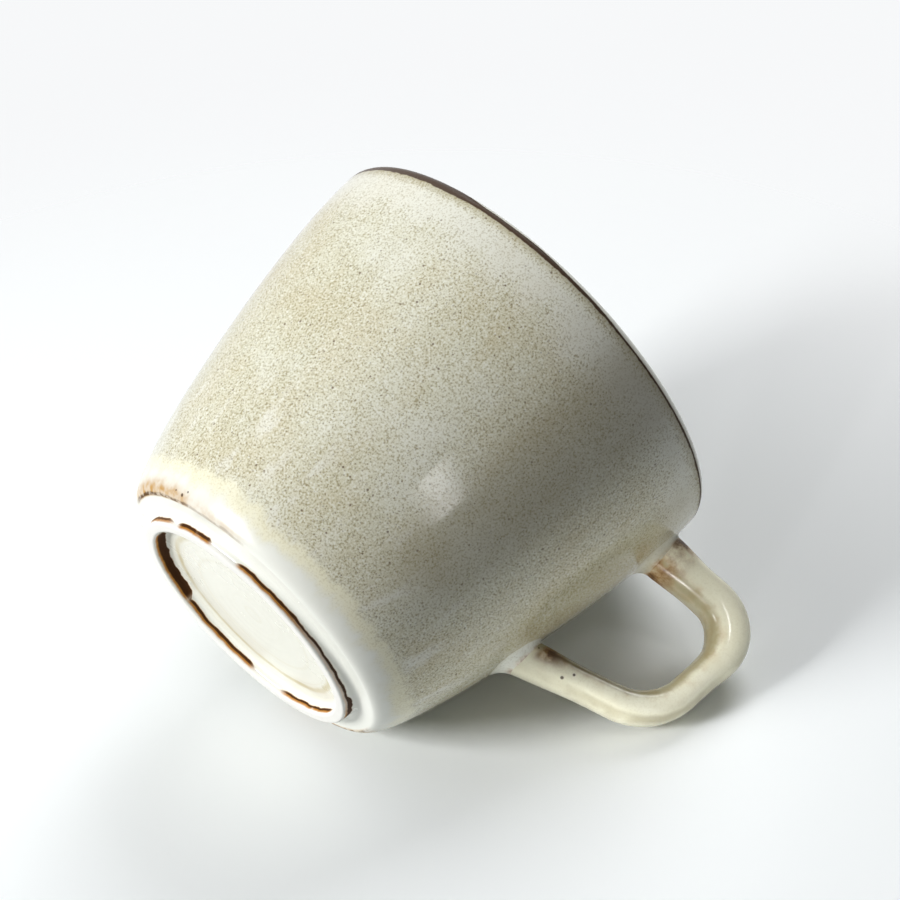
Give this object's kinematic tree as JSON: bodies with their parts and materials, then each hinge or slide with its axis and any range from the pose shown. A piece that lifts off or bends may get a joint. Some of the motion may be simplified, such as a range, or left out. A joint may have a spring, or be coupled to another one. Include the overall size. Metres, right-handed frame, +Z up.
{
  "type": "cappuccino cup",
  "caption": "Glazed stoneware cappuccino cup: a bowl with a rounded heel on a foot ring, and a squared strap handle luted to the wall with slip.",
  "frame": {"origin": "centre of the foot ring's standing face, on the bowl's axis", "axes": "+Z up the bowl's axis to the rim, +X from the axis out through the handle"},
  "size_m": [0.1153, 0.0902, 0.0755],
  "materials": {
    "body_glaze": "glossy speckled reactive glaze, brown where it breaks over the edges",
    "handle_glaze": "glossy creamy glaze, olive brown at the edges and roots",
    "joint_glaze": "glossy pale glaze pooled over the slip"
  },
  "bodies": {
    "root": {"cup_body": "body_glaze", "handle": "handle_glaze", "upper_slip_joint": "joint_glaze", "lower_slip_joint": "joint_glaze"}
  },
  "joints": []
}
